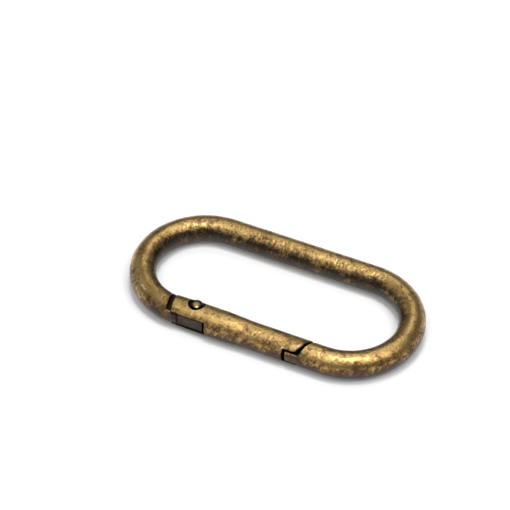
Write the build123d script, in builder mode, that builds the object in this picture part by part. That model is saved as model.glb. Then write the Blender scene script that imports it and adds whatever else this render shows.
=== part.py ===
from build123d import *
from math import atan2, degrees, hypot, radians, tan
import os

# An oval spring gate ring. The ring lies flat: X runs along the oval, Y across it and Z is up.
# The gate closes the -Y side. It turns on a rivet near its -X end, and its free end opens
# inwards, towards +Y. All sizes are in millimetres and degrees.

# Driving dimensions of the ring
wire_diameter = 5.0
inner_length = 48.0
inner_width = 18.3

# Driving dimensions of the gate's turned barrel
knuckle_proud = 0.275         # how far the barrel stands out from the wire, round the hinge
cheek_end_proud = 0.15        # the same, at the very end of the cheeks
barrel_proud = 0.05           # the same, along the slim latch half
swell_past_pin = 5.9          # the swell runs this far past the pin
taper_length = 5.5            # and then eases down to the slim half over this length
cheek_corner_break = 0.3

# Driving dimensions of the hinge
shoulder_past_bow = 1.45      # the hinge shoulder stands this far into the bow
shoulder_angle = 8.0          # the shoulder and the cheeks' ends lean back, off square
shoulder_gap = 0.87           # between the shoulder and the gate's cheeks
pin_from_shoulder = 5.38
pin_inset = 0.6               # the pin stands inwards of the gate's own axis
pin_diameter = 1.3
pin_running_clearance = 0.05  # radial, where the pin turns in the ring's tongue
pin_seat_clearance = 0.02     # radial, where the pin is riveted into the gate
hinge_tongue_thickness = 2.6
tongue_flat_depth = 0.4       # the tongue's outer side is dressed flat, this deep
tongue_flat_start = 2.5       # and this far from the shoulder
fork_side_clearance = 0.15
fork_end_clearance = 0.65
cam_reach = 2.3               # from the pin to the tongue's square end
cam_offset = 0.6              # centre of the tongue's cam arc, inwards of the pin
recess_diameter = 3.3
recess_depth = 0.75
rivet_head_diameter = 2.3
rivet_head_height = 0.75
rivet_edge_break = 0.4        # the crown's edge is dressed in two slanting cuts

# Driving dimensions of the latch
nose_before_bow = 3.1         # the nose stops this far before the bow, on the gate's axis
latch_angle = 23.5            # slant of the nose and of the gate's tip, off square
latch_gap = 0.75              # between the two, along the gate
nose_tongue_length = 3.55
nose_tongue_thickness = 2.15
nose_tongue_depth = 2.9       # from the outer side of the wire inwards
latch_side_clearance = 0.45
latch_end_clearance = 0.6
latch_stop_clearance = 0.05
latch_mouth_break = 0.35      # the corners of the slot's mouth are cut back

# Driving dimensions of the plunger and its spring
plunger_diameter = 2.8
plunger_share = 0.47          # of the bore's length, from the hinge tongue to its end
plunger_clearance = 0.05      # radial, in the gate's bore
plunger_chamfer = 0.15
spigot_diameter = 1.4
spigot_share = 0.3            # of the spring's room
latch_web = 6.6               # metal left between the bore and the latch slot
spring_wire_diameter = 0.45
spring_clearance = 0.12       # radial, in the gate's bore
spring_seat_clearance = 0.02
spring_pitch = 1.2

# The cut edges are broken by a small chamfer
edge_break = 0.12

# The ring's centreline is two straights and two half-circle bows
wire_radius = wire_diameter / 2
bow_radius = (inner_width + wire_diameter) / 2
bow_x = (inner_length - inner_width) / 2
shoulder_arc = degrees(atan2(2 * shoulder_past_bow, bow_radius))
knuckle_radius = wire_radius + knuckle_proud
cheek_end_radius = wire_radius + cheek_end_proud
barrel_radius = wire_radius + barrel_proud
mid_height = knuckle_radius   # the ring lies on the gate's swell

# Places along the gate, measured from the middle of the ring
shoulder_x = -(bow_x + shoulder_past_bow)
cheek_end_x = shoulder_x + shoulder_gap
pin_x = shoulder_x + pin_from_shoulder
hinge_tongue_end_x = pin_x + cam_reach
fork_end_x = hinge_tongue_end_x + fork_end_clearance
tongue_flat_length = hinge_tongue_end_x - shoulder_x - tongue_flat_start
taper_start_x = pin_x + swell_past_pin
taper_end_x = taper_start_x + taper_length
nose_x = bow_x - nose_before_bow
gate_tip_x = nose_x - latch_gap
nose_tongue_end_x = nose_x - nose_tongue_length
latch_slot_end_x = nose_tongue_end_x - latch_end_clearance
bore_end_x = latch_slot_end_x - latch_web
plunger_length = plunger_share * (bore_end_x - hinge_tongue_end_x)
plunger_back_x = hinge_tongue_end_x + plunger_length
spring_room = bore_end_x - plunger_back_x

cheek_taper = (knuckle_radius - cheek_end_radius) / (pin_x - cheek_end_x)

# Places across the gate, measured from its axis, and the outline's margin past the metal
nose_tongue_inner_y = nose_tongue_depth - wire_radius
latch_stop_y = nose_tongue_inner_y + latch_stop_clearance
cam_centre_y = pin_inset + cam_offset
margin = knuckle_radius + 1.0
slant = tan(radians(latch_angle))
lean = tan(radians(shoulder_angle))

# The gate's axis, and a plane along it at mid height: x along the gate, y inwards
gate_plane = Plane(origin=(0, -bow_radius, mid_height), z_dir=(0, 0, 1))
gate_axis = Axis((0, -bow_radius, mid_height), (1, 0, 0))
pin_y = pin_inset - bow_radius
recess_floor = knuckle_radius - recess_depth
rivet_top = recess_floor + rivet_head_height
bore_radius = plunger_diameter / 2 + plunger_clearance


def distance_from_gate_axis(point):
    local = gate_plane.to_local_coords(point)
    return hypot(local.Y, local.Z)


def outer_rims(solid):
    """The edges where a flat cut meets the round outside of the wire or the barrel."""
    flat_edges = solid.faces().filter_by(GeomType.PLANE).edges()
    return flat_edges.filter_by(
        lambda edge: distance_from_gate_axis(edge @ 0.5) > wire_radius - edge_break
    )


# The room for the gate: the gap from the hinge shoulder to the slanted nose, less two tongues
with BuildPart() as gate_space:
    with BuildSketch(gate_plane):
        with BuildLine():
            Polyline(
                (shoulder_x + margin * lean, -margin),
                (nose_x - margin * slant, -margin),
                (nose_x + margin * slant, margin),
                (shoulder_x - margin * lean, margin),
                close=True,
            )
        make_face()
    extrude(amount=margin, both=True)
    # The hinge tongue's end is square on its outer side and a cam arc on its inner side
    with BuildSketch(gate_plane):
        with BuildLine():
            cam = CenterArc((pin_x, cam_centre_y), cam_reach, 0, 90)
            Polyline(
                cam @ 0,
                (hinge_tongue_end_x, -margin),
                (shoulder_x - margin, -margin),
                (shoulder_x - margin, cam_centre_y + cam_reach),
                cam @ 1,
            )
        make_face()
    extrude(amount=hinge_tongue_thickness / 2, both=True, mode=Mode.SUBTRACT)
    # The nose tongue is what the gate's latch slot closes over
    with BuildSketch(gate_plane):
        with Locations((nose_tongue_end_x, nose_tongue_inner_y)):
            Rectangle(
                nose_tongue_length + margin,
                nose_tongue_inner_y + margin,
                align=(Align.MIN, Align.MAX),
            )
    extrude(amount=nose_tongue_thickness / 2, both=True, mode=Mode.SUBTRACT)

# The ring: a closed oval of wire, opened for the gate
with BuildPart() as ring_body:
    with BuildSketch(Plane.YZ.offset(-bow_x)):
        with Locations((-bow_radius, mid_height), (bow_radius, mid_height)):
            Circle(wire_radius)
    extrude(amount=2 * bow_x)
    # The bow at the hinge is turned in two lengths, and the shoulder cuts only the short one
    for bow_centre_x, start_y, arc in (
        (bow_x, -bow_radius, 180),
        (-bow_x, bow_radius, 180 - shoulder_arc),
        (-bow_x, -bow_radius, -shoulder_arc),
    ):
        bow_start = (bow_centre_x, start_y, mid_height)
        with BuildSketch(Plane(origin=bow_start, x_dir=(0, -start_y, 0), z_dir=(1, 0, 0))):
            Circle(wire_radius)
        revolve(axis=Axis((bow_centre_x, 0, 0), (0, 0, 1)), revolution_arc=arc)
    add(gate_space.part, mode=Mode.SUBTRACT)
    outer_side = (-bow_radius - wire_radius, -bow_radius + wire_radius / 2)
    chamfer(outer_rims(ring_body).filter_by_position(Axis.Y, *outer_side), edge_break)
    # The hinge tongue's outer side is dressed flat
    with BuildSketch(gate_plane):
        with Locations((hinge_tongue_end_x, tongue_flat_depth - wire_radius)):
            Rectangle(tongue_flat_length, margin, align=(Align.MAX, Align.MAX))
    extrude(amount=hinge_tongue_thickness / 2, both=True, mode=Mode.SUBTRACT)
    with Locations(Plane(origin=(pin_x, pin_y, mid_height + wire_radius), z_dir=(0, 0, 1))):
        Hole(pin_diameter / 2 + pin_running_clearance)

# The gate: a turned barrel, forked at the hinge and slotted at the latch
with BuildPart() as gate:
    with BuildSketch(gate_plane) as barrel_profile:
        with BuildLine():
            Polyline(
                (cheek_end_x - margin, 0),
                (cheek_end_x - margin, cheek_end_radius - margin * cheek_taper),
                (pin_x, knuckle_radius),
                (taper_start_x, knuckle_radius),
                (taper_end_x, barrel_radius),
                (gate_tip_x + margin, barrel_radius),
                (gate_tip_x + margin, 0),
                close=True,
            )
        make_face()
    revolve(axis=gate_axis)
    # Both ends are cut slanting
    with BuildSketch(gate_plane):
        for end_x, tilt, past in (
            (cheek_end_x, -lean, -2 * margin),
            (gate_tip_x, slant, 2 * margin),
        ):
            with BuildLine():
                Polyline(
                    (end_x - margin * tilt, -margin),
                    (end_x + past, -margin),
                    (end_x + past, margin),
                    (end_x + margin * tilt, margin),
                    close=True,
                )
            make_face()
    extrude(amount=margin, both=True, mode=Mode.SUBTRACT)
    chamfer(gate.edges().group_by(Axis.X)[0], cheek_corner_break)
    with BuildSketch(gate_plane):
        with Locations((fork_end_x, 0)):
            Rectangle(fork_end_x - cheek_end_x + margin, 2 * margin, align=(Align.MAX, Align.CENTER))
    extrude(
        amount=hinge_tongue_thickness / 2 + fork_side_clearance,
        both=True,
        mode=Mode.SUBTRACT,
    )
    with BuildSketch(gate_plane):
        with Locations((latch_slot_end_x, latch_stop_y)):
            Rectangle(
                gate_tip_x + margin - latch_slot_end_x,
                2 * margin,
                align=(Align.MIN, Align.MAX),
            )
    extrude(
        amount=nose_tongue_thickness / 2 + latch_side_clearance,
        both=True,
        mode=Mode.SUBTRACT,
    )
    mouth_corners = edges().filter_by(
        lambda edge: (edge @ 0.5).X > nose_tongue_end_x + 1 and abs((edge % 0.5).Y) > 0.8
    )
    chamfer(mouth_corners.filter_by(GeomType.LINE), latch_mouth_break)
    chamfer(outer_rims(gate), edge_break)
    with Locations(Plane(origin=(fork_end_x, -bow_radius, mid_height), z_dir=(-1, 0, 0))):
        Hole(bore_radius, depth=bore_end_x - fork_end_x)
    with Locations(
        Plane(origin=(pin_x, pin_y, mid_height + knuckle_radius), z_dir=(0, 0, 1)),
        Plane(origin=(pin_x, pin_y, mid_height - knuckle_radius), z_dir=(0, 0, -1)),
    ):
        CounterBoreHole(
            pin_diameter / 2 + pin_seat_clearance,
            recess_diameter / 2,
            recess_depth,
            depth=knuckle_radius,
        )

# The rivet that the gate turns on, with a button head in each recess
with BuildPart() as hinge_pin:
    with BuildSketch(Plane(origin=(pin_x, pin_y, mid_height), x_dir=(1, 0, 0), z_dir=(0, -1, 0))):
        with BuildLine():
            Polyline(
                (0, rivet_top),
                (0, 0),
                (pin_diameter / 2, 0),
                (pin_diameter / 2, recess_floor),
                (rivet_head_diameter / 2, recess_floor),
                (rivet_head_diameter / 2, rivet_top - rivet_edge_break),
                (rivet_head_diameter / 2 - 0.3 * rivet_edge_break, rivet_top - 0.3 * rivet_edge_break),
                (rivet_head_diameter / 2 - rivet_edge_break, rivet_top),
                close=True,
            )
        make_face()
    revolve(axis=Axis((pin_x, pin_y, 0), (0, 0, 1)))
    mirror(about=Plane.XY.offset(mid_height))

# The plunger, pressed against the hinge tongue's end, with a spigot inside the spring
with BuildPart() as plunger:
    with BuildSketch(Plane.YZ.offset(hinge_tongue_end_x)):
        with Locations((-bow_radius, mid_height)):
            Circle(plunger_diameter / 2)
    extrude(amount=plunger_length)
    chamfer(edges(), plunger_chamfer)
    with BuildSketch(Plane.YZ.offset(plunger_back_x)):
        with Locations((-bow_radius, mid_height)):
            Circle(spigot_diameter / 2)
    extrude(amount=spigot_share * spring_room)

# The coil spring, between the plunger's shoulder and the end of the bore
spring_rise = spring_room - spring_wire_diameter - 2 * spring_seat_clearance
spring_start_x = plunger_back_x + spring_seat_clearance + spring_wire_diameter / 2
coil_radius = bore_radius - spring_clearance - spring_wire_diameter / 2
with BuildPart() as gate_spring:
    with BuildLine():
        coil = Helix(
            spring_pitch,
            spring_rise,
            coil_radius,
            center=(spring_start_x, -bow_radius, mid_height),
            direction=(1, 0, 0),
        )
    with BuildSketch(Plane(origin=coil @ 0, z_dir=coil % 0)):
        RegularPolygon(spring_wire_diameter / 2, 6)
    sweep(is_frenet=True)

os.makedirs("parts", exist_ok=True)
ring_body.part.label = "ring_body"
export_step(ring_body.part, "parts/ring_body.step")
gate.part.label = "gate"
export_step(gate.part, "parts/gate.step")
hinge_pin.part.label = "hinge_pin"
export_step(hinge_pin.part, "parts/hinge_pin.step")
plunger.part.label = "plunger"
export_step(plunger.part, "parts/plunger.step")
gate_spring.part.label = "gate_spring"
export_step(gate_spring.part, "parts/gate_spring.step")
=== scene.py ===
"""An oval spring gate ring in antique brass, dressed and set on a pale studio floor.

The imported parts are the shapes. This add-on gives each of them its finish, and builds the stage.
Everything is in metres, +X along the oval, +Y from the gate to the back bar and +Z up.
"""

import math

import bmesh
import bpy
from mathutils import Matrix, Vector


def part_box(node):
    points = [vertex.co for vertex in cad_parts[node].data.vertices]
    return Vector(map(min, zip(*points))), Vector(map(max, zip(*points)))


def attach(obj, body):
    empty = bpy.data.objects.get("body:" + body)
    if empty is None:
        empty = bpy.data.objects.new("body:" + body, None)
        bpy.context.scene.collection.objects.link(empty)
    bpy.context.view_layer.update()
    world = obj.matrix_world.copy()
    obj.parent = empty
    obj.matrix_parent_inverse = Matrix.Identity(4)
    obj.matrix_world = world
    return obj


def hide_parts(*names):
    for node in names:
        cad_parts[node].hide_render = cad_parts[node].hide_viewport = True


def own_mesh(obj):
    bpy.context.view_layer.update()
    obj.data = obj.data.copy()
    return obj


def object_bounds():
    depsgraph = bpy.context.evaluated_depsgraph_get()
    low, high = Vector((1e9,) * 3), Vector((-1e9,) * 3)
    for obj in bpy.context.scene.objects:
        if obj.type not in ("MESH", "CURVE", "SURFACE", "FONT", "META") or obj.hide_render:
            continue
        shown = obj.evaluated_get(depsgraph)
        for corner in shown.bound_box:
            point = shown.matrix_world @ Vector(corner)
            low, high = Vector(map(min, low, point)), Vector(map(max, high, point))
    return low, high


bl_info = {
    "name": "Spring gate ring finish",
    "version": (1, 0, 0),
    "blender": (4, 5, 0),
    "location": "View3D > Sidebar > Gate ring",
    "description": "Antique brass finish and a studio stage for an oval spring gate ring",
    "category": "Object",
}

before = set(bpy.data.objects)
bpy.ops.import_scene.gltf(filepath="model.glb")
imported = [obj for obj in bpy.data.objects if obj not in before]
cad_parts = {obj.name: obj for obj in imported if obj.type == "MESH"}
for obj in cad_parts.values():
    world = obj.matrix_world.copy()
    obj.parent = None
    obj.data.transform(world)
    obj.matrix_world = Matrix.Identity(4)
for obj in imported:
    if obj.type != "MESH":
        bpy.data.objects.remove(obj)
cad_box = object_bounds()

MM = 0.001

# The ring's own sizes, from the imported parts
ring_low, ring_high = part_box("ring_body")
gate_low, gate_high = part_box("gate")
pin_low, pin_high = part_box("hinge_pin")
spring_low, spring_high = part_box("gate_spring")
wire_radius = (ring_high.z - ring_low.z) / 2
mid_height = (ring_high.z + ring_low.z) / 2
bow_radius = ring_high.y - wire_radius
bow_x = ring_high.x - wire_radius - bow_radius
pin_centre = (pin_low + pin_high) / 2


def linear(hex_colour):
    """A colour written as sRGB hex, as the linear values that Blender takes."""
    channels = [int(hex_colour[i : i + 2], 16) / 255 for i in (1, 3, 5)]
    return tuple(c / 12.92 if c <= 0.04045 else ((c + 0.055) / 1.055) ** 2.4 for c in channels)


# ---------------------------------------------------------------- settings


class AntiqueBrassSettings(bpy.types.PropertyGroup):
    """What a user would change in the brass finish."""

    bright_brass: bpy.props.FloatVectorProperty(
        name="Bright brass",
        description="Colour of the brass where brushing has cleared the patina",
        subtype="COLOR",
        min=0.0,
        max=1.0,
        default=linear("#C2A061"),
    )
    brown_brass: bpy.props.FloatVectorProperty(
        name="Brown brass",
        description="Colour where a thin brown film is left on the brass",
        subtype="COLOR",
        min=0.0,
        max=1.0,
        default=linear("#6B5032"),
    )
    red_brass: bpy.props.FloatVectorProperty(
        name="Red brass",
        description="Colour of the coppery spots in the brown film",
        subtype="COLOR",
        min=0.0,
        max=1.0,
        default=linear("#73482F"),
    )
    # Also used for the painted shade on the under side of the wire
    dark_patina_and_shade: bpy.props.FloatVectorProperty(
        name="Dark patina",
        description="Colour of the oxide on the inner side, which brushing hardly reaches",
        subtype="COLOR",
        min=0.0,
        max=1.0,
        default=linear("#342D23"),
    )
    # Also used for the painted shade on the rivet's sides and along the hinge tongue's edges
    black_oxide_and_shade: bpy.props.FloatVectorProperty(
        name="Black oxide",
        description="Colour of the unbrushed oxide in the gaps and the recesses",
        subtype="COLOR",
        min=0.0,
        max=1.0,
        default=linear("#15140F"),
    )
    # Also used for the painted glints on the gate's tip, its latch slot corner and the rivet's
    # crown
    worn_edge_and_glint: bpy.props.FloatVectorProperty(
        name="Worn edge",
        description="Colour of the bare metal on rubbed edges and in the nick",
        subtype="COLOR",
        min=0.0,
        max=1.0,
        default=linear("#F2E6C8"),
    )
    patch_size: bpy.props.FloatProperty(
        name="Patch size",
        description="Width of the broad cloudy patches in the film",
        default=3.0 * MM,
        unit="LENGTH",
    )
    mottle_size: bpy.props.FloatProperty(
        name="Mottle size",
        description="Width of the mottled spots of brown on the gold",
        default=1.0 * MM,
        unit="LENGTH",
    )
    stroke_width: bpy.props.FloatProperty(
        name="Brush stroke width",
        description="Width of one brush stroke",
        default=0.22 * MM,
        unit="LENGTH",
    )
    stroke_length: bpy.props.FloatProperty(
        name="Brush stroke length",
        description="Length of one brush stroke",
        default=1.6 * MM,
        unit="LENGTH",
    )
    stroke_slant: bpy.props.FloatProperty(
        name="Brush stroke slant",
        description="How far the strokes lean from straight across the wire",
        default=math.radians(25),
        unit="ROTATION",
    )


class SteelSettings(bpy.types.PropertyGroup):
    """What a user would change in the plunger and its spring."""

    turned_steel: bpy.props.FloatVectorProperty(
        name="Turned steel",
        description="Colour of the plunger",
        subtype="COLOR",
        min=0.0,
        max=1.0,
        default=linear("#A7A5A0"),
    )
    spring_steel: bpy.props.FloatVectorProperty(
        name="Spring steel",
        description="Colour of the drawn spring wire",
        subtype="COLOR",
        min=0.0,
        max=1.0,
        default=linear("#8E8C88"),
    )
    stained_steel: bpy.props.FloatVectorProperty(
        name="Stained steel",
        description="Colour of the oil stains on both",
        subtype="COLOR",
        min=0.0,
        max=1.0,
        default=linear("#7B7771"),
    )
    tool_mark_spacing: bpy.props.FloatProperty(
        name="Tool mark spacing",
        description="Distance between the fine rings left by turning",
        default=0.12 * MM,
        unit="LENGTH",
    )
    stain_size: bpy.props.FloatProperty(
        name="Stain size",
        description="Width of the oil stains",
        default=0.6 * MM,
        unit="LENGTH",
    )
    spring_wire: bpy.props.FloatProperty(
        name="Spring wire",
        description="Diameter of the round wire that the spring is wound from",
        default=0.44 * MM,
        unit="LENGTH",
    )
    spring_pitch: bpy.props.FloatProperty(
        name="Spring pitch",
        description="Distance from one turn of the spring to the next",
        default=1.2 * MM,
        unit="LENGTH",
    )


class StageSettings(bpy.types.PropertyGroup):
    """What a user would change in the floor, the light and the camera."""

    paper: bpy.props.FloatVectorProperty(
        name="Paper",
        description="Colour of the floor",
        subtype="COLOR",
        min=0.0,
        max=1.0,
        default=linear("#F7F7F7"),
    )
    room: bpy.props.FloatVectorProperty(
        name="Room",
        description="Colour of the dim room round the stage",
        subtype="COLOR",
        min=0.0,
        max=1.0,
        default=linear("#6C6C6C"),
    )
    floor_radius: bpy.props.FloatProperty(
        name="Floor radius",
        description="Radius of the round floor",
        default=1.5,
        unit="LENGTH",
    )
    camera_distance: bpy.props.FloatProperty(
        name="Camera distance",
        description="From the middle of the ring to the camera",
        default=425 * MM,
        unit="LENGTH",
    )
    camera_azimuth: bpy.props.FloatProperty(
        name="Camera azimuth",
        description="How far the camera is walked round towards +X from the gate's side",
        default=math.radians(25.7),
        unit="ROTATION",
    )
    camera_elevation: bpy.props.FloatProperty(
        name="Camera elevation",
        description="How high the camera looks down from",
        default=math.radians(43.5),
        unit="ROTATION",
    )
    camera_slide: bpy.props.FloatVectorProperty(
        name="Camera slide",
        description="How far the camera is slid to its right and up, to frame the ring",
        size=2,
        default=(-3.94 * MM, 7.28 * MM),
        unit="LENGTH",
    )
    lens: bpy.props.FloatProperty(
        name="Lens",
        description="Focal length in millimetres on a 36 mm sensor",
        default=161.2,
        unit="CAMERA",
    )
    softbox_size: bpy.props.FloatProperty(
        name="Softbox size",
        description="Side of the square softboxes round the ring",
        default=300 * MM,
        unit="LENGTH",
    )
    lamp_size: bpy.props.FloatProperty(
        name="Lamp size",
        description="Side of the small bright lamp straight over the ring",
        default=110 * MM,
        unit="LENGTH",
    )


# ---------------------------------------------------------------- nodes

# A mix node's inputs share their names, so they go by number: two values, or two colours
VALUE_A, VALUE_B = 2, 3
COLOUR_A, COLOUR_B = 6, 7

# Half sizes in mm of a round column that stands right through the ring, for reach_in
COLUMN = (1.0, 1.0, 1000.0)


def add_node(tree, kind, inputs=None, **settings):
    """Adds a node, sets its settings, and fills or links its inputs by name or number."""
    node = tree.nodes.new(kind)
    for name, value in settings.items():
        setattr(node, name, value)
    for key, value in (inputs or {}).items():
        if isinstance(value, bpy.types.Node):
            value = next(socket for socket in value.outputs if socket.enabled)
        if isinstance(value, bpy.types.NodeSocket):
            tree.links.new(value, node.inputs[key])
        else:
            node.inputs[key].default_value = value
    return node


def new_material(name):
    """An empty node material, and the tree to build it in."""
    material = bpy.data.materials.new(name)
    material.use_nodes = True
    material.node_tree.nodes.clear()
    return material, material.node_tree


def finish_node(node_name, material):
    """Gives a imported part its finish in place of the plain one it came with."""
    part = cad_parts[node_name]
    part.data.materials.clear()
    part.data.materials.append(material)
    return part


def place_in_mm(tree):
    """The place on the part, in millimetres from the middle of the ring."""
    coordinate = add_node(tree, "ShaderNodeTexCoord").outputs["Object"]
    return add_node(
        tree,
        "ShaderNodeMapping",
        {"Vector": coordinate, "Location": (0.0, 0.0, -mid_height / MM), "Scale": [1 / MM] * 3},
    )


def wire_section(tree, place):
    """Where a point lies on the bent wire, in mm: along it, and out and up in its section."""
    axes = add_node(tree, "ShaderNodeSeparateXYZ", {"Vector": place}).outputs
    half = bow_x / MM
    radius = bow_radius / MM
    nearest = add_node(tree, "ShaderNodeClamp", {"Value": axes["X"], "Min": -half, "Max": half})
    past = add_node(tree, "ShaderNodeMath", {0: axes["X"], 1: nearest}, operation="SUBTRACT")
    across = add_node(tree, "ShaderNodeMath", {0: axes["Y"]}, operation="ABSOLUTE")
    spoke = add_node(tree, "ShaderNodeCombineXYZ", {"X": past, "Y": across})
    reach = add_node(tree, "ShaderNodeVectorMath", {0: spoke}, operation="LENGTH")
    outward = add_node(tree, "ShaderNodeMath", {0: reach, 1: radius}, operation="SUBTRACT")
    turn = add_node(tree, "ShaderNodeMath", {0: past, 1: across}, operation="ARCTAN2")
    along = add_node(
        tree, "ShaderNodeMath", {0: turn, 1: radius, 2: nearest}, operation="MULTIPLY_ADD"
    )
    return add_node(tree, "ShaderNodeCombineXYZ", {"X": along, "Y": outward, "Z": axes["Z"]})


def reach_in(tree, place, centre, size, turn=0.0):
    """How far a point is from this centre, as a share of a turned oval's half sizes, in mm."""
    inside = add_node(
        tree,
        "ShaderNodeMapping",
        {"Vector": place, "Location": centre, "Rotation": (0.0, 0.0, turn), "Scale": size},
        vector_type="TEXTURE",
    )
    return add_node(tree, "ShaderNodeVectorMath", {0: inside}, operation="LENGTH")


def brush_strokes(tree, section, place, size, slant):
    """Streaks of noise: their size in mm along the wire, out and up, and how they lean."""
    stretched = add_node(
        tree,
        "ShaderNodeMapping",
        {"Vector": section, "Rotation": (0.0, slant, slant), "Scale": size},
        vector_type="TEXTURE",
    )
    # The fourth coordinate keeps the two long sides of the oval from being copies
    side = add_node(
        tree, "ShaderNodeVectorMath", {0: place, 1: (0.0, 0.15, 0.0)}, operation="DOT_PRODUCT"
    )
    return add_node(
        tree,
        "ShaderNodeTexNoise",
        {"Vector": stretched, "W": side, "Scale": 1.0, "Detail": 2.0, "Roughness": 0.6},
        noise_dimensions="4D",
    )


def ring_marks(tree, place, speckle):
    """The hinge tongue stays covered between the cheeks, painted shade lies under the shoulder and
    along the tongue's upper edge, and a bow has a small nick.
    """
    cheek_end = gate_low.x / MM
    axis_y = -bow_radius / MM
    bow_centre_x = -bow_x / MM
    # An oval of space round the tongue, from the cheeks' ends to past the tongue's own end
    tongue_middle = (cheek_end + 6.8, axis_y, 0.0)
    tongue_reach = reach_in(tree, place, tongue_middle, (6.5, 9.0, 50.0))
    tongue = add_node(
        tree, "ShaderNodeMapRange", {"Value": tongue_reach, "From Min": 1.0, "From Max": 0.96}
    )
    # Painted shade under the shoulder: the brown film is kept nearly whole there, and thins out
    # towards the bow
    under_shoulder = (cheek_end - 0.2, axis_y - 2.2, -1.6)
    shoulder_reach = reach_in(tree, place, under_shoulder, (5.5, 3.5, 3.0))
    shoulder_reach = add_node(
        tree, "ShaderNodeMath", {0: speckle, 1: -1.0, 2: shoulder_reach}, operation="MULTIPLY_ADD"
    )
    shoulder_shade = add_node(
        tree,
        "ShaderNodeMapRange",
        {"Value": shoulder_reach, "From Min": 0.6, "From Max": 0.15},
        interpolation_type="SMOOTHSTEP",
    )
    covered_and_shaded = add_node(tree, "ShaderNodeMath", {0: tongue, 1: shoulder_shade}, operation="MAXIMUM")
    # The tongue's long edges lie in the narrow gaps beside the cheeks and are black, with more of
    # the upper one as painted shadow from the cheek above
    height = add_node(tree, "ShaderNodeSeparateXYZ", {"Vector": place}).outputs["Z"]
    to_edge = add_node(tree, "ShaderNodeMath", {0: height, 1: 0.12}, operation="ADD")
    to_edge = add_node(tree, "ShaderNodeMath", {0: to_edge}, operation="ABSOLUTE")
    beside_cheek = add_node(
        tree,
        "ShaderNodeMapRange",
        {"Value": to_edge, "From Min": 0.95, "From Max": 1.2},
        interpolation_type="SMOOTHSTEP",
    )
    black = add_node(tree, "ShaderNodeMath", {0: tongue, 1: beside_cheek}, operation="MULTIPLY")
    opened = add_node(tree, "ShaderNodeMath", {0: tongue, 1: black}, operation="SUBTRACT")
    # The nick on the hinge-end bow is two short scratches close together, ragged at their ends
    scratches = []
    for centre, length, turn in (
        ((bow_centre_x - 7.65, axis_y + 1.05, 2.1), 0.7, 20),
        ((bow_centre_x - 6.95, axis_y + 0.55, 2.0), 0.55, 32),
    ):
        reach = reach_in(tree, place, centre, (length, 0.17, 0.8), math.radians(-turn))
        ragged = add_node(
            tree, "ShaderNodeMath", {0: speckle, 1: 2.4, 2: reach}, operation="MULTIPLY_ADD"
        )
        scratch = add_node(
            tree, "ShaderNodeMapRange", {"Value": ragged, "From Min": 2.4, "From Max": 1.7}
        )
        scratches.append(scratch)
    bare_and_glint = add_node(
        tree, "ShaderNodeMath", {0: scratches[0], 1: scratches[1]}, operation="MAXIMUM"
    )
    return covered_and_shaded, opened, black, bare_and_glint


def gate_marks(tree, place, speckle):
    """The recess round the rivet is black, a faint pale ring lies round it, and painted glints sit
    on the tip's edge and the latch slot's corner.
    """
    recess_radius = 1.65
    from_pin = reach_in(tree, place, (pin_centre.x / MM, pin_centre.y / MM, 0.0), COLUMN)
    black = add_node(
        tree,
        "ShaderNodeMapRange",
        {"Value": from_pin, "From Min": recess_radius + 0.05, "From Max": recess_radius - 0.03},
        interpolation_type="SMOOTHSTEP",
    )
    rim = add_node(
        tree, "ShaderNodeMath", {0: from_pin, 1: recess_radius + 0.11, 2: 0.09}, operation="COMPARE"
    )
    rim = add_node(tree, "ShaderNodeMath", {0: rim, 1: 0.15}, operation="MULTIPLY")
    # Painted glints: the slanting tip's edge and the upper corner of the latch slot are painted
    # pale where light catches them
    gate_end = gate_high.x / MM
    axis_y = -bow_radius / MM
    tip_glint_centre = (gate_end - 1.42, axis_y - 0.75, 2.4)
    from_tip_glint = reach_in(tree, place, tip_glint_centre, (0.16, 0.85, 0.6), math.radians(-23.5))
    corner_glint_centre = (gate_end - 4.44, axis_y - 1.95, 1.62)
    corner = reach_in(tree, place, corner_glint_centre, (0.36, 0.6, 0.28))
    from_glint = add_node(tree, "ShaderNodeMath", {0: from_tip_glint, 1: corner}, operation="MINIMUM")
    ragged = add_node(
        tree, "ShaderNodeMath", {0: speckle, 1: 0.8, 2: from_glint}, operation="MULTIPLY_ADD"
    )
    sheen_and_rubbed = add_node(
        tree, "ShaderNodeMapRange", {"Value": ragged, "From Min": 1.4, "From Max": 1.0}
    )
    bare_and_glint = add_node(tree, "ShaderNodeMath", {0: sheen_and_rubbed, 1: rim}, operation="MAXIMUM")
    return 0.0, 0.0, black, bare_and_glint


def rivet_marks(tree, place, speckle):
    """The rivet's crown is gold in a spot shifted to its outer side, and its slanting sides are
    black, as painted shade where they mirror the dim room.
    """
    pin_x, pin_y = pin_centre.x / MM, pin_centre.y / MM
    from_lit_spot = reach_in(tree, place, (pin_x + 0.05, pin_y - 0.25, 0.0), COLUMN)
    ragged = add_node(
        tree, "ShaderNodeMath", {0: speckle, 1: 0.5, 2: from_lit_spot}, operation="MULTIPLY_ADD"
    )
    black = add_node(
        tree,
        "ShaderNodeMapRange",
        {"Value": ragged, "From Min": 0.4, "From Max": 1.15},
        interpolation_type="SMOOTHSTEP",
    )
    # A painted glint on the crown's outer edge
    glint_centre = (pin_x + 0.3, pin_y - 0.85, 2.6)
    from_glint = reach_in(tree, place, glint_centre, (0.6, 0.3, 0.5))
    bare_and_glint = add_node(
        tree,
        "ShaderNodeMapRange",
        {"Value": from_glint, "From Min": 1.0, "From Max": 0.3, "To Max": 0.25},
    )
    return 0.0, 0.0, black, bare_and_glint


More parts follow.
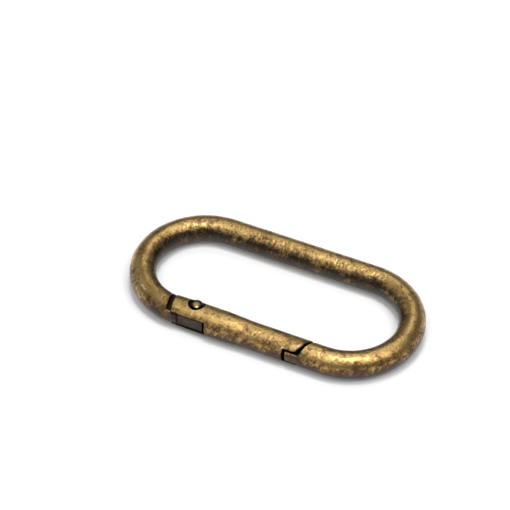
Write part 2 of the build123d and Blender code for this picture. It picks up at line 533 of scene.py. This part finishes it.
def uneven_film(tree, place, section):
    """How unevenly the brown film lies, about 0 on the whole, and its fine grain by itself."""
    settings = bpy.context.scene.antique_brass
    clouds = add_node(
        tree,
        "ShaderNodeTexNoise",
        {"Vector": place, "Scale": MM / settings.patch_size, "Detail": 2.0},
    )
    mottle = add_node(
        tree,
        "ShaderNodeTexNoise",
        {
            "Vector": place,
            "Scale": MM / settings.mottle_size,
            "Detail": 2.0,
            "Roughness": 0.6,
        },
    )
    # The grain of the brushed film is finer than this, and is drawn just wide enough to show
    speckle = add_node(
        tree,
        "ShaderNodeTexNoise",
        {"Vector": place, "Scale": 2.4 * MM / settings.mottle_size, "Detail": 2.0},
    )
    width, length = settings.stroke_width / MM, settings.stroke_length / MM
    slant = settings.stroke_slant
    across = brush_strokes(tree, section, place, (width, length, length), slant)
    lengthwise = brush_strokes(
        tree, section, place, (3 * length, 2 * width, 2 * width), 0.3 * slant
    )
    shares = ((clouds, 1.3), (mottle, 1.1), (speckle, 0.9), (across, 0.8), (lengthwise, 0.5))
    # Each pattern is about 0.5 on the whole, so half their shares is taken off first
    uneven = -sum(share for _, share in shares) / 2
    for pattern, share in shares:
        uneven = add_node(
            tree, "ShaderNodeMath", {0: pattern, 1: share, 2: uneven}, operation="MULTIPLY_ADD"
        )
    return uneven, speckle


def brushing(tree, section, from_axis, uneven):
    """What brushing does, as shares: the brown that shows anyway, the patina cleared, the gold; the
    under side is painted shade, and the gold on top is partly a painted highlight.
    """
    radius = wire_radius / MM

    # Painted shade: the under side of the wire is darkened to the patina colour, for the shade
    # under the ring and the shaded floor it mirrors
    underside_shade = add_node(
        tree,
        "ShaderNodeVectorMath",
        {0: section, 1: (0.0, 0.0, 1 / radius)},
        operation="DOT_PRODUCT",
    )
    underside_shade = add_node(tree, "ShaderNodeMath", {0: uneven, 1: underside_shade}, operation="ADD")
    underside_shade = add_node(
        tree,
        "ShaderNodeMapRange",
        {"Value": underside_shade, "From Min": -0.7, "From Max": 0.7},
        interpolation_type="SMOOTHSTEP",
    )

    # The brush clears the outer side and the top, and leaves the inner side
    facing = add_node(
        tree,
        "ShaderNodeVectorMath",
        {0: section, 1: (0.0, 0.85 / radius, 0.55 / radius)},
        operation="DOT_PRODUCT",
    )
    facing = add_node(
        tree, "ShaderNodeMath", {0: uneven, 1: 0.65, 2: facing}, operation="MULTIPLY_ADD"
    )
    cleared_and_unshaded = add_node(
        tree,
        "ShaderNodeMapRange",
        {"Value": facing, "From Min": -0.8, "From Max": 0.3},
        interpolation_type="SMOOTHSTEP",
    )
    cleared_and_unshaded = add_node(tree, "ShaderNodeMath", {0: cleared_and_unshaded, 1: underside_shade}, operation="MULTIPLY")

    # Even where it misses, some brown shows through
    through = add_node(
        tree, "ShaderNodeMath", {0: uneven, 1: 0.9, 2: 0.07}, operation="MULTIPLY_ADD"
    )
    cleared_and_unshaded = add_node(
        tree, "ShaderNodeMath", {0: cleared_and_unshaded, 1: through}, operation="MAXIMUM", use_clamp=True
    )

    # The top is rubbed hardest, and the gate's swelling that stands proud of the wire a little
    # more; the gold this gives on top is partly a painted highlight from the overhead lamps
    sheen_and_rubbing = add_node(
        tree,
        "ShaderNodeVectorMath",
        {0: section, 1: (0.0, 0.2 / radius, 1.25 / radius)},
        operation="DOT_PRODUCT",
    )
    sheen_and_rubbing = add_node(
        tree, "ShaderNodeMath", {0: uneven, 1: 3.0, 2: sheen_and_rubbing}, operation="MULTIPLY_ADD"
    )
    proud = add_node(
        tree,
        "ShaderNodeMapRange",
        {"Value": from_axis, "From Min": 1.02 * radius, "From Max": 1.1 * radius, "To Max": 0.1},
    )
    sheen_and_rubbing = add_node(tree, "ShaderNodeMath", {0: sheen_and_rubbing, 1: proud}, operation="ADD")
    sheen_and_rubbed = add_node(
        tree,
        "ShaderNodeMapRange",
        {"Value": sheen_and_rubbing, "From Min": -0.3, "From Max": 1.9},
        interpolation_type="SMOOTHSTEP",
    )
    sheen_and_rubbed = add_node(tree, "ShaderNodeMath", {0: sheen_and_rubbed, 1: underside_shade}, operation="MULTIPLY")
    return through, cleared_and_unshaded, sheen_and_rubbed


def antique_brass(name, marks, black_roughness=0.6):
    """Cast or turned brass, blackened all over, brushed back on its outer side and lacquered.

    To the eye it is warm, half-polished gold on top, broken by brown mottling and fine brush
    strokes, that sinks into a dull dark brown on the inner and under sides and in the gaps. The
    gold on top is partly a painted highlight, and the dark under side is painted shade. The clear
    lacquer lays a second, softer shine over it all.
    """
    settings = bpy.context.scene.antique_brass
    material, tree = new_material(name)
    place = place_in_mm(tree)
    section = wire_section(tree, place)
    radius = wire_radius / MM
    from_axis = add_node(
        tree, "ShaderNodeVectorMath", {0: section, 1: (0.0, 1.0, 1.0)}, operation="MULTIPLY"
    )
    from_axis = add_node(tree, "ShaderNodeVectorMath", {0: from_axis}, operation="LENGTH")
    uneven, speckle = uneven_film(tree, place, section)
    through, cleared_and_unshaded, sheen_and_rubbed = brushing(tree, section, from_axis, uneven)

    # Each part says what stays covered or lies in painted shade, what lies open inside the wire,
    # what is black, and what is bare or a painted glint
    covered_and_shaded, opened, black, bare_and_glint = marks(tree, place, speckle)
    cleared_and_unshaded = add_node(
        tree, "ShaderNodeMix", {"Factor": covered_and_shaded, VALUE_A: cleared_and_unshaded, VALUE_B: through}
    )
    uncovered_and_unshaded = add_node(
        tree, "ShaderNodeMath", {0: covered_and_shaded, 1: -0.8, 2: 1.0}, operation="MULTIPLY_ADD"
    )
    sheen_and_rubbed = add_node(tree, "ShaderNodeMath", {0: sheen_and_rubbed, 1: uncovered_and_unshaded}, operation="MULTIPLY")

    # No brush gets at the faces inside the wire: the gaps, the slots and the bore
    outside = add_node(
        tree,
        "ShaderNodeMapRange",
        {"Value": from_axis, "From Min": 0.9 * radius, "From Max": 0.95 * radius},
        interpolation_type="SMOOTHSTEP",
    )
    within_reach = add_node(tree, "ShaderNodeMath", {0: outside, 1: opened}, operation="MAXIMUM")
    # Black takes the oxide colour: oxide in the gaps and recesses, and painted shade on the rivet's
    # sides and the tongue's upper edge
    not_black = add_node(tree, "ShaderNodeMath", {0: 1.0, 1: black}, operation="SUBTRACT")
    open_unshaded_metal = add_node(
        tree, "ShaderNodeMath", {0: not_black, 1: within_reach}, operation="MULTIPLY"
    )

    # The layers, from the brown film under the gold up to the bare metal and the painted glints
    redness = add_node(
        tree,
        "ShaderNodeMapRange",
        {"Value": speckle, "From Min": 0.45, "From Max": 0.65},
        interpolation_type="SMOOTHSTEP",
    )
    brown, red, gold, dark, oxide_and_shade, wear_and_glint = (
        (*colour, 1.0)
        for colour in (
            settings.brown_brass,
            settings.red_brass,
            settings.bright_brass,
            settings.dark_patina_and_shade,
            settings.black_oxide_and_shade,
            settings.worn_edge_and_glint,
        )
    )
    colour = add_node(
        tree,
        "ShaderNodeMix",
        {"Factor": redness, COLOUR_A: brown, COLOUR_B: red},
        data_type="RGBA",
    )
    colour = add_node(
        tree,
        "ShaderNodeMix",
        {"Factor": sheen_and_rubbed, COLOUR_A: colour, COLOUR_B: gold},
        data_type="RGBA",
    )
    colour = add_node(
        tree,
        "ShaderNodeMix",
        {"Factor": cleared_and_unshaded, COLOUR_A: dark, COLOUR_B: colour},
        data_type="RGBA",
    )
    colour = add_node(
        tree,
        "ShaderNodeMix",
        {"Factor": open_unshaded_metal, COLOUR_A: oxide_and_shade, COLOUR_B: colour},
        data_type="RGBA",
    )
    colour = add_node(
        tree,
        "ShaderNodeMix",
        {"Factor": bare_and_glint, COLOUR_A: colour, COLOUR_B: wear_and_glint},
        data_type="RGBA",
    )

    polish = add_node(tree, "ShaderNodeMath", {0: cleared_and_unshaded, 1: sheen_and_rubbed}, operation="MULTIPLY")
    roughness = add_node(
        tree, "ShaderNodeMapRange", {"Value": polish, "To Min": 0.48, "To Max": 0.32}
    )
    roughness = add_node(
        tree,
        "ShaderNodeMix",
        {"Factor": open_unshaded_metal, VALUE_A: black_roughness, VALUE_B: roughness},
    )
    grain = add_node(
        tree, "ShaderNodeMath", {0: uneven, 1: 0.8, 2: speckle}, operation="MULTIPLY_ADD"
    )
    bump = add_node(
        tree, "ShaderNodeBump", {"Height": grain, "Distance": 0.04 * MM, "Strength": 1.0}
    )
    shader = add_node(
        tree,
        "ShaderNodeBsdfPrincipled",
        {
            "Base Color": colour,
            "Metallic": 1.0,
            "Roughness": roughness,
            "Normal": bump,
            "Coat Weight": 0.25,
            "Coat Roughness": 0.3,
        },
    )
    add_node(tree, "ShaderNodeOutputMaterial", {"Surface": shader})
    return material


def plain_steel(name, colour, roughness):
    """Bare steel. To the eye it is a cool, clean grey with fine rings round its axis."""
    settings = bpy.context.scene.gate_steel
    material, tree = new_material(name)
    place = place_in_mm(tree)
    # At scale 1 a wave repeats every pi / 10 units
    rings = add_node(
        tree,
        "ShaderNodeTexWave",
        {
            "Vector": place,
            "Scale": math.pi / 10 * MM / settings.tool_mark_spacing,
            "Distortion": 0.4,
            "Detail": 2.0,
            "Detail Scale": 2.0,
        },
        bands_direction="X",
    ).outputs["Fac"]
    stains = add_node(
        tree,
        "ShaderNodeTexNoise",
        {"Vector": place, "Scale": MM / settings.stain_size, "Detail": 3.0},
    )
    tint = add_node(
        tree,
        "ShaderNodeMix",
        {
            "Factor": stains,
            COLOUR_A: (*colour, 1.0),
            COLOUR_B: (*settings.stained_steel, 1.0),
        },
        data_type="RGBA",
    )
    bump = add_node(
        tree, "ShaderNodeBump", {"Height": rings, "Distance": 0.004 * MM, "Strength": 1.0}
    )
    shader = add_node(
        tree,
        "ShaderNodeBsdfPrincipled",
        {"Base Color": tint, "Metallic": 1.0, "Roughness": roughness, "Normal": bump},
    )
    add_node(tree, "ShaderNodeOutputMaterial", {"Surface": shader})
    return material


def coil_spring(name, low, high, wire, pitch):
    """A coil of round wire along X that just fills this box."""
    sides, steps_a_turn = 12, 32
    middle = (low + high) / 2
    coil_radius = (high.y - low.y - wire) / 2
    rise = high.x - low.x - wire
    turns = rise / pitch
    steps = round(steps_a_turn * turns)
    coil = bmesh.new()
    last = None
    for step in range(steps + 1):
        angle = 2 * math.pi * turns * step / steps
        outward = Vector((0.0, math.cos(angle), math.sin(angle)))
        forward = Vector((pitch / (2 * math.pi * coil_radius), -outward.z, outward.y)).normalized()
        across = forward.cross(outward)
        centre = Vector((low.x + wire / 2 + rise * step / steps, middle.y, middle.z))
        centre += outward * coil_radius
        ring = []
        for side in range(sides):
            turn = 2 * math.pi * side / sides
            reach = outward * math.cos(turn) + across * math.sin(turn)
            ring.append(coil.verts.new(centre + reach * wire / 2))
        if last is None:
            coil.faces.new(reversed(ring))
        else:
            for side in range(sides):
                after = (side + 1) % sides
                face = coil.faces.new((last[side], last[after], ring[after], ring[side]))
                face.smooth = True
        last = ring
    coil.faces.new(last)
    bmesh.ops.recalc_face_normals(coil, faces=coil.faces)
    mesh = bpy.data.meshes.new(name)
    coil.to_mesh(mesh)
    coil.free()
    spring = bpy.data.objects.new(name, mesh)
    bpy.context.scene.collection.objects.link(spring)
    return spring


# ---------------------------------------------------------------- operators


class GATERING_OT_finish_ring(bpy.types.Operator):
    """Gives the cast ring its antique brass."""

    bl_idname = "gatering.finish_ring"
    bl_label = "Finish the ring"

    def execute(self, context):
        finish_node("ring_body", antique_brass("antique_brass_cast_ring", ring_marks))
        return {"FINISHED"}


class GATERING_OT_finish_gate(bpy.types.Operator):
    """Gives the turned gate its antique brass, dark round the rivet, with painted glints at its
    tip.
    """

    bl_idname = "gatering.finish_gate"
    bl_label = "Finish the gate"

    def execute(self, context):
        finish_node("gate", antique_brass("antique_brass_turned_gate", gate_marks))
        return {"FINISHED"}


class GATERING_OT_finish_rivet(bpy.types.Operator):
    """Gives the button-headed rivet its antique brass, black and smooth round the crown as painted
    shade, with a painted glint.
    """

    bl_idname = "gatering.finish_rivet"
    bl_label = "Finish the rivet"

    def execute(self, context):
        finish_node("hinge_pin", antique_brass("antique_brass_rivet_head", rivet_marks, 0.3))
        return {"FINISHED"}


class GATERING_OT_finish_plunger(bpy.types.Operator):
    """Gives the plunger its turned steel."""

    bl_idname = "gatering.finish_plunger"
    bl_label = "Finish the plunger"

    def execute(self, context):
        settings = context.scene.gate_steel
        finish_node("plunger", plain_steel("turned_steel_plunger", settings.turned_steel, 0.35))
        return {"FINISHED"}


class GATERING_OT_wind_spring(bpy.types.Operator):
    """Winds the spring from round steel wire. The real spring shortens as the plunger moves back;
    this one is drawn at one length.
    """

    bl_idname = "gatering.wind_spring"
    bl_label = "Wind the spring"

    def execute(self, context):
        settings = context.scene.gate_steel
        steel = plain_steel("drawn_spring_steel", settings.spring_steel, 0.4)
        finish_node("gate_spring", steel)
        spring = coil_spring(
            "spring_coil", spring_low, spring_high, settings.spring_wire, settings.spring_pitch
        )
        spring.data.materials.append(steel)
        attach(spring, "gate")
        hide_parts("gate_spring")
        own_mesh(spring)
        return {"FINISHED"}


def white_paper(colour):
    """Matt white paper: it takes the ring's soft shadow, and is plain white elsewhere."""
    material, tree = new_material("matt_white_paper")
    paper = add_node(tree, "ShaderNodeBsdfDiffuse", {"Color": (*colour, 1.0), "Roughness": 0.0})
    ray = add_node(tree, "ShaderNodeLightPath").outputs
    seen = add_node(
        tree,
        "ShaderNodeMath",
        {0: ray["Is Camera Ray"], 1: ray["Is Glossy Ray"]},
        operation="MAXIMUM",
    )
    seen = add_node(
        tree, "ShaderNodeMath", {0: seen, 1: ray["Is Transmission Ray"]}, operation="MAXIMUM"
    )
    # A faint glow, only for the camera and for reflections, brings the lit paper up to white
    lift = add_node(tree, "ShaderNodeMath", {0: seen, 1: 0.07}, operation="MULTIPLY")
    glow = add_node(tree, "ShaderNodeEmission", {"Color": (1.0, 1.0, 1.0, 1.0), "Strength": lift})
    both = add_node(tree, "ShaderNodeAddShader", {0: paper, 1: glow})
    add_node(tree, "ShaderNodeOutputMaterial", {"Surface": both})
    return material


def aim(thing, place, target):
    """Puts a lamp or camera at a place, looking at the target."""
    thing.location = place
    thing.rotation_euler = (place - target).to_track_quat("Z", "Y").to_euler()


def softbox(name, direction, distance, size, power, target):
    """A square area lamp that far from the ring, facing it."""
    lamp = bpy.data.lights.new(name, "AREA")
    lamp.shape = "SQUARE"
    lamp.size = size
    lamp.energy = power
    thing = bpy.data.objects.new(name, lamp)
    bpy.context.scene.collection.objects.link(thing)
    aim(thing, target + Vector(direction).normalized() * distance, target)
    return thing


class GATERING_OT_build_stage(bpy.types.Operator):
    """Builds the floor, the soft light and the camera."""

    bl_idname = "gatering.build_stage"
    bl_label = "Build the stage"

    def execute(self, context):
        settings = context.scene.gate_stage
        scene = context.scene
        middle = Vector((0.0, 0.0, mid_height))

        # The floor lies a hair under the ring, so that no two faces share a plane
        bpy.ops.mesh.primitive_circle_add(
            vertices=96,
            radius=settings.floor_radius,
            fill_type="NGON",
            location=(0.0, 0.0, cad_box[0].z - 0.01 * MM),
        )
        floor = context.active_object
        floor.name = "floor"
        floor.data.materials.append(white_paper(settings.paper))

        # Each lamp's direction from the ring, its distance in metres, its side and its watts
        for name, direction, distance, size, power in (
            ("lamp_overhead", (0.02, 0.0, 1.0), 0.5, settings.lamp_size, 0.84),
            ("softbox_right", (0.5, -0.1, 1.0), 0.6, settings.softbox_size, 1.3),
            ("softbox_left", (-1.0, 0.1, 0.7), 0.6, 1.5 * settings.softbox_size, 0.22),
            ("softbox_back", (-0.1, 0.65, 1.0), 0.6, settings.softbox_size, 0.5),
            ("softbox_front", (-0.1, -0.5, 1.0), 0.6, settings.softbox_size, 0.8),
            ("softbox_front_low", (-0.3, -1.0, 0.6), 0.7, 1.6 * settings.softbox_size, 0.3),
        ):
            softbox(name, direction, distance, size, power, middle)

        world = bpy.data.worlds.new("soft_grey_room")
        world.use_nodes = True
        background = world.node_tree.nodes["Background"]
        background.inputs["Color"].default_value = (*settings.room, 1.0)
        background.inputs["Strength"].default_value = 1.0
        scene.world = world
        scene.view_settings.view_transform = "Standard"

        azimuth, elevation = settings.camera_azimuth, settings.camera_elevation
        back = Vector(
            (
                math.sin(azimuth) * math.cos(elevation),
                -math.cos(azimuth) * math.cos(elevation),
                math.sin(elevation),
            )
        )
        right = Vector((math.cos(azimuth), math.sin(azimuth), 0.0))
        slide = right * settings.camera_slide[0] + back.cross(right) * settings.camera_slide[1]
        lens = bpy.data.cameras.new("camera")
        lens.lens = settings.lens
        lens.sensor_width = 36.0
        camera = bpy.data.objects.new("camera", lens)
        scene.collection.objects.link(camera)
        aim(camera, middle + slide + back * settings.camera_distance, middle + slide)
        scene.camera = camera
        return {"FINISHED"}


class GATERING_PT_sidebar(bpy.types.Panel):
    """Lists the settings and the operators."""

    bl_idname = "GATERING_PT_sidebar"
    bl_label = "Spring gate ring"
    bl_space_type = "VIEW_3D"
    bl_region_type = "UI"
    bl_category = "Gate ring"

    def draw(self, context):
        layout = self.layout
        for name, step_list in SIDEBAR:
            box = layout.box()
            settings = getattr(context.scene, name)
            for prop in settings.bl_rna.properties:
                if prop.identifier not in {"rna_type", "name"}:
                    box.prop(settings, prop.identifier)
            for step in step_list:
                box.operator(step.bl_idname)


SIDEBAR = (
    (
        "antique_brass",
        (GATERING_OT_finish_ring, GATERING_OT_finish_gate, GATERING_OT_finish_rivet),
    ),
    ("gate_steel", (GATERING_OT_finish_plunger, GATERING_OT_wind_spring)),
    ("gate_stage", (GATERING_OT_build_stage,)),
)

SETTINGS = {
    "antique_brass": AntiqueBrassSettings,
    "gate_steel": SteelSettings,
    "gate_stage": StageSettings,
}

CLASSES = (
    *SETTINGS.values(),
    GATERING_OT_finish_ring,
    GATERING_OT_finish_gate,
    GATERING_OT_finish_rivet,
    GATERING_OT_finish_plunger,
    GATERING_OT_wind_spring,
    GATERING_OT_build_stage,
    GATERING_PT_sidebar,
)


def register():
    for cls in CLASSES:
        bpy.utils.register_class(cls)
    for name, cls in SETTINGS.items():
        setattr(bpy.types.Scene, name, bpy.props.PointerProperty(type=cls))


def unregister():
    for name in SETTINGS:
        delattr(bpy.types.Scene, name)
    for cls in reversed(CLASSES):
        bpy.utils.unregister_class(cls)


def main():
    register()
    bpy.ops.gatering.finish_ring()
    bpy.ops.gatering.finish_gate()
    bpy.ops.gatering.finish_rivet()
    bpy.ops.gatering.finish_plunger()
    bpy.ops.gatering.wind_spring()
    bpy.ops.gatering.build_stage()


if __name__ == "__main__":
    main()
